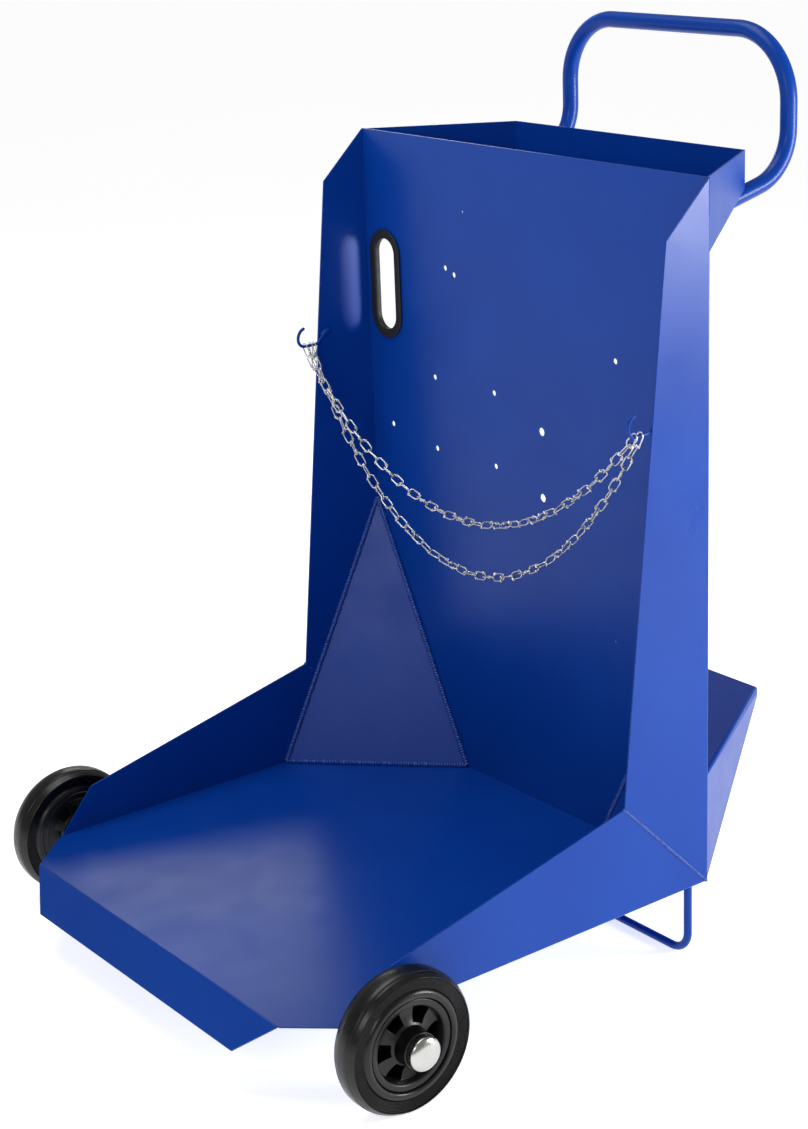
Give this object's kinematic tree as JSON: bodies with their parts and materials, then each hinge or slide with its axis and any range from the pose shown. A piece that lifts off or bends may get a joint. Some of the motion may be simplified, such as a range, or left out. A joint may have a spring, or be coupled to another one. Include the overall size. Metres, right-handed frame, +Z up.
{
  "type": "gas cylinder cart",
  "caption": "Two-wheeled welded sheet-metal cart for a pair of upright gas cylinders, with a loading lip, chain, tool tray and tube push handle.",
  "frame": {"origin": "on the ground, under the middle of the cart's bounding box; the back plate's front face is at y = 0.214 m", "axes": "+Z up, +Y backwards towards the person pushing, +X to the right of a person looking from the front lip's side towards +Y"},
  "size_m": [0.968, 1.0663, 1.3035],
  "materials": {
    "blue_paint": "glossy powder coat",
    "rubber": "matte black",
    "steel": "bare drawn steel",
    "zinc": "bright zinc plating",
    "tyre": "satin black rubber",
    "rim": "satin black",
    "chrome": "polished"
  },
  "bodies": {
    "frame": {"floor_sheet": "blue_paint", "back_sheet": "blue_paint", "left_gusset": "blue_paint", "right_gusset": "blue_paint", "tool_tray": "blue_paint", "rear_shelf": "blue_paint", "handle": "blue_paint", "foot": "blue_paint", "slot_edging": "rubber", "axle": "steel", "left_axle_bracket": "blue_paint", "right_axle_bracket": "blue_paint", "left_hook": "blue_paint", "right_hook": "blue_paint", "left_spacer": "steel", "left_inner_washer": "zinc", "left_outer_washer": "zinc", "left_cap": "chrome", "right_spacer": "steel", "right_inner_washer": "zinc", "right_outer_washer": "zinc", "right_cap": "chrome"},
    "left_wheel": {"left_tyre": "tyre", "left_rim": "rim", "left_roller_cage": "rim", "left_rollers": "steel"},
    "right_wheel": {"right_tyre": "tyre", "right_rim": "rim", "right_roller_cage": "rim", "right_rollers": "steel"},
    "upper_strand": {"upper_chain": "zinc"},
    "lower_strand": {"lower_chain": "zinc"},
    "spare_end": {"spare_links": "zinc"}
  },
  "joints": [
    {"name": "left_wheel_spin", "type": "hinge", "parent": "frame", "child": "left_wheel", "pos_m": [-0.428, -0.377, 0.1], "axis": [1, 0, 0], "continuous": true},
    {"name": "right_wheel_spin", "type": "hinge", "parent": "frame", "child": "right_wheel", "pos_m": [0.428, -0.377, 0.1], "axis": [1, 0, 0], "continuous": true},
    {"name": "upper_swing", "type": "hinge", "parent": "frame", "child": "upper_strand", "pos_m": [0, 0.0805, 0.808], "axis": [1, 0, 0], "range_deg": [-20, 15]},
    {"name": "lower_swing", "type": "hinge", "parent": "frame", "child": "lower_strand", "pos_m": [0, 0.0915, 0.808], "axis": [1, 0, 0], "range_deg": [-20, 15]},
    {"name": "spare_swing", "type": "hinge", "parent": "frame", "child": "spare_end", "pos_m": [-0.381, 0.0987, 0.808], "axis": [1, 0, 0], "range_deg": [-20, 15]}
  ],
  "couplings": [
    {"joint": "lower_swing", "follows": "upper_swing", "ratio": 1},
    {"joint": "spare_swing", "follows": "upper_swing", "ratio": 1}
  ]
}
